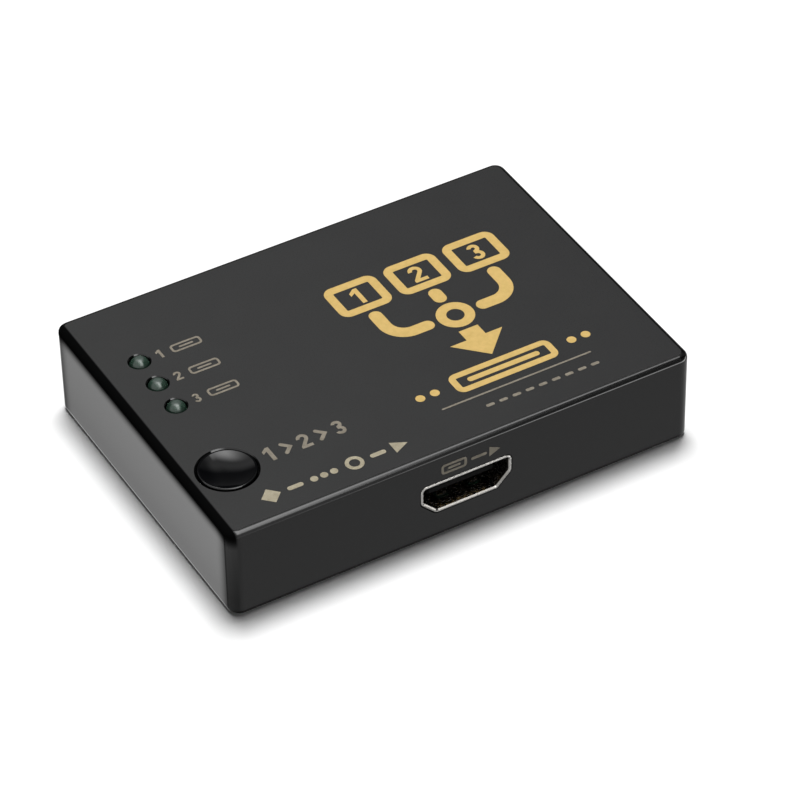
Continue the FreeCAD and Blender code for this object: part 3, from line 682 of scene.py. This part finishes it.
def stroke(points, width):
    """Outline of a line of even width along points, with round ends."""
    half = width / 2
    left, right = [], []
    for i, (x, y) in enumerate(points):
        ax, ay = points[max(i - 1, 0)]
        bx, by = points[min(i + 1, len(points) - 1)]
        dx, dy = bx - ax, by - ay
        n = math.hypot(dx, dy)
        dx, dy = dx / n, dy / n
        if 0 < i < len(points) - 1:
            ex, ey = x - ax, y - ay
            m = math.hypot(ex, ey)
            grow = 1.0 / max(0.5, (ex * dx + ey * dy) / m)
        else:
            grow = 1.0
        left.append((x - dy * half * grow, y + dx * half * grow))
        right.append((x + dy * half * grow, y - dx * half * grow))
    (x0, y0), (x1, y1) = points[0], points[1]
    a = math.degrees(math.atan2(y1 - y0, x1 - x0))
    start = arc(x0, y0, half, a + 90, a + 270, 10)[1:-1]
    (x0, y0), (x1, y1) = points[-2], points[-1]
    b = math.degrees(math.atan2(y1 - y0, x1 - x0))
    end = arc(x1, y1, half, b - 90, b + 90, 10)[1:-1]
    return right + end + left[::-1] + start


def moved(points, dx, dy, s=1.0):
    return [(dx + s * x, dy + s * y) for x, y in points]


def numeral(d):
    """Outline of 1, 2 or 3, one unit high, standing on y = 0 and centred on x = 0."""
    if d == 1:
        return [(-0.02, 0.0), (0.19, 0.0), (0.19, 1.0), (0.02, 1.0), (-0.24, 0.80), (-0.24, 0.60), (-0.02, 0.74)]
    if d == 2:
        return (arc(0.0, 0.70, 0.30, 180, -38, 20)
                + [(-0.03, 0.19), (0.30, 0.19), (0.30, 0.0), (-0.31, 0.0), (-0.31, 0.15)]
                + arc(0.0, 0.70, 0.115, -38, 180, 16))
    return (arc(0.0, 0.735, 0.265, 165, -43, 18)
            + arc(0.0, 0.285, 0.285, 50, -165, 22)
            + arc(0.0, 0.285, 0.105, -165, 75, 16)
            + [(-0.07, 0.40), (-0.07, 0.60)]
            + arc(0.0, 0.735, 0.085, -75, 165, 14))


class Print:
    """Flat marks on one face of the housing, each a thin closed solid."""

    def __init__(self, place):
        self.bm = bmesh.new()
        self.place = place

    def _ring(self, pts, h):
        return [self.bm.verts.new(self.place(u, v, h)) for u, v in pts]

    def _wall(self, a, b):
        n = len(a)
        for i in range(n):
            j = (i + 1) % n
            self.bm.faces.new((a[i], a[j], b[j], b[i]))

    def solid(self, pts):
        top, low = self._ring(pts, INK_T), self._ring(pts, -INK_S)
        self.bm.faces.new(top)
        self.bm.faces.new(low[::-1])
        self._wall(top, low)

    def band(self, outer, inner):
        to, lo = self._ring(outer, INK_T), self._ring(outer, -INK_S)
        ti, li = self._ring(inner, INK_T), self._ring(inner, -INK_S)
        self._wall(to, lo)
        self._wall(li, ti)
        self._wall(ti, to)
        self._wall(lo, li)

    def box_outline(self, cx, cy, w, h, r, t):
        self.band(round_rect(cx, cy, w, h, r), round_rect(cx, cy, w - 2 * t, h - 2 * t, max(r - t, 0.12)))

    def ring(self, cx, cy, r, t):
        self.band(circle(cx, cy, r), circle(cx, cy, r - t))

    def disc(self, cx, cy, r):
        self.solid(circle(cx, cy, r, 28))

    def bar(self, cx, cy, w, h):
        self.solid(round_rect(cx, cy, w, h, min(w, h) * 0.45, 5))

    def line(self, pts, w):
        self.solid(stroke(pts, w))

    def figure(self, d, x, y, height):
        self.solid(moved(numeral(d), x, y - height / 2, height))

    def done(self, name, material):
        bmesh.ops.recalc_face_normals(self.bm, faces=self.bm.faces)
        bmesh.ops.triangulate(self.bm, faces=[f for f in self.bm.faces if len(f.verts) > 4])
        mesh = bpy.data.meshes.new(name)
        self.bm.to_mesh(mesh)
        self.bm.free()
        mesh.materials.append(material)
        piece = bpy.data.objects.new(name, mesh)
        scene.collection.objects.link(piece)
        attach(piece, "box")
        return piece


def on_top(u, v, h):
    return Vector((u, v, TOP_Z + h)) * MM


def on_front(u, v, h):
    return Vector((u, FRONT_Y - h, v)) * MM


def on_rear(u, v, h):
    return Vector((-u, REAR_Y + h, v)) * MM


# the large diagram: three numbered sockets whose lines meet in one arrow to the output
big = Print(on_top)
CX = 13.3
for n, x in ((1, 3.2), (2, 13.3), (3, 23.4)):
    big.box_outline(x, 9.5, 8.7, 7.3, 1.6, 1.40)
    big.figure(n, x, 9.5, 3.6)
for s in (-1, 1):
    side = CX + s * 10.1
    bend = arc(side - s * 3.2, 1.6, 3.2, 0 if s > 0 else 180, -90 if s > 0 else 270, 12)
    big.line([(side, 4.2), (side, 3.1)] + bend + [(CX + s * 4.7, -1.6)], 2.1)
big.line([(CX, 4.2), (CX, 2.9)], 2.1)
big.ring(CX, -1.6, 2.9, 1.55)
big.solid([(CX - 1.6, -5.2), (CX - 1.6, -7.5), (CX - 4.4, -7.5), (CX, -12.0),
           (CX + 4.4, -7.5), (CX + 1.6, -7.5), (CX + 1.6, -5.2)])
big.box_outline(CX, -15.2, 17.0, 4.3, 1.3, 1.05)
big.bar(CX, -15.2, 12.0, 0.95)
for x in (-0.6, 1.8, 24.8, 27.2):
    big.disc(x, -15.2, 0.72)
big.done("top_print_diagram", GOLD)

fine = Print(on_top)
fine.bar(CX, -18.9, 25.0, 0.30)
for i in range(9):
    fine.bar(7.3 + i * 2.2, -21.5, 1.35, 0.55)
fine.done("top_print_fine", DULL_GOLD)

# a numeral and a small socket sign beside each lamp
lamps = Print(on_top)
for n in (1, 2, 3):
    lo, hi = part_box("indicator_lamp_%d" % n)
    y = (lo.y + hi.y) / 2 / MM
    lamps.figure(n, -27.9, y, 1.9)
    lamps.box_outline(-23.6, y, 4.9, 1.75, 0.6, 0.34)
    lamps.bar(-23.6, y, 2.3, 0.34)
lamps.done("lamp_numerals", DULL_GOLD)

# the button steps through the inputs: 1, 2, 3 with chevrons between
legend = Print(on_top)
lo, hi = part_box("select_button_cap")
y = (lo.y + hi.y) / 2 / MM - 0.2
for n, x in ((1, -24.9), (2, -19.3), (3, -13.7)):
    legend.figure(n, x, y, 2.95)
for x in (-22.0, -16.4):
    legend.line([(x - 0.55, y + 0.98), (x + 0.45, y), (x - 0.55, y - 0.98)], 0.60)
legend.done("button_legend", DULL_GOLD)

# a row of plain signs along the front edge
signs = Print(on_top)
Y = -22.4
signs.solid([(-28.9, Y - 1.55), (-27.35, Y), (-28.9, Y + 1.55), (-30.45, Y)])
signs.bar(-25.0, Y, 2.5, 0.80)
for x in (-22.0, -20.4, -18.8):
    signs.disc(x, Y, 0.58)
signs.ring(-15.5, Y, 1.40, 0.60)
signs.bar(-11.7, Y, 2.5, 0.80)
signs.solid([(-9.3, Y - 1.2), (-6.9, Y), (-9.3, Y + 1.2)])
signs.done("front_edge_signs", PALE_GOLD)

# socket sign and outward arrow above the output port, numerals above the inputs
mark = Print(on_front)
mark.box_outline(-2.0, 12.3, 4.2, 1.8, 0.55, 0.40)
mark.bar(-2.0, 12.3, 2.1, 0.40)
mark.bar(2.1, 12.3, 2.6, 0.50)
mark.solid([(3.8, 11.4), (5.6, 12.3), (3.8, 13.2)])
mark.done("output_mark", FADED_GOLD)

rear = Print(on_rear)
for n in (1, 2, 3):
    lo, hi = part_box("input_port_%d_shell" % n)
    rear.figure(n, -(lo.x + hi.x) / 2 / MM, 12.4, 1.9)
rear.done("rear_numerals", PALE_GOLD)

# ---------------------------------------------------------------- floor

floor_mesh = bpy.data.meshes.new("floor")
bm = bmesh.new()
rings = []
RADIUS = 0.62
for k, r in enumerate((0.0, 0.1, 0.2, 0.34, 0.48, RADIUS)):
    if r == 0.0:
        rings.append([bm.verts.new((0, 0, 0))])
    else:
        rings.append([bm.verts.new((r * math.cos(math.tau * i / 64), r * math.sin(math.tau * i / 64), 0)) for i in range(64)])
for i in range(64):
    j = (i + 1) % 64
    bm.faces.new((rings[0][0], rings[1][i], rings[1][j]))
    for k in range(1, len(rings) - 1):
        bm.faces.new((rings[k][i], rings[k + 1][i], rings[k + 1][j], rings[k][j]))
bm.to_mesh(floor_mesh)
bm.free()
floor = bpy.data.objects.new("floor", floor_mesh)
scene.collection.objects.link(floor)
ff = Finish("floor_paper")
ff.put("Base Color", ff.blend(ff.noise(30.0), (0.92, 0.92, 0.92), (0.94, 0.94, 0.94)))
ff.put("Roughness", ff.remap(ff.noise(2.0), 0.3, 0.7, 0.75, 0.85))
ff.put("Specular IOR Level", 0.1)
floor_mesh.materials.append(ff.mat)
floor.visible_glossy = False
floor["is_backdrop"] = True

# ---------------------------------------------------------------- sizes, and the end

bpy.context.view_layer.update()
lo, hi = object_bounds()
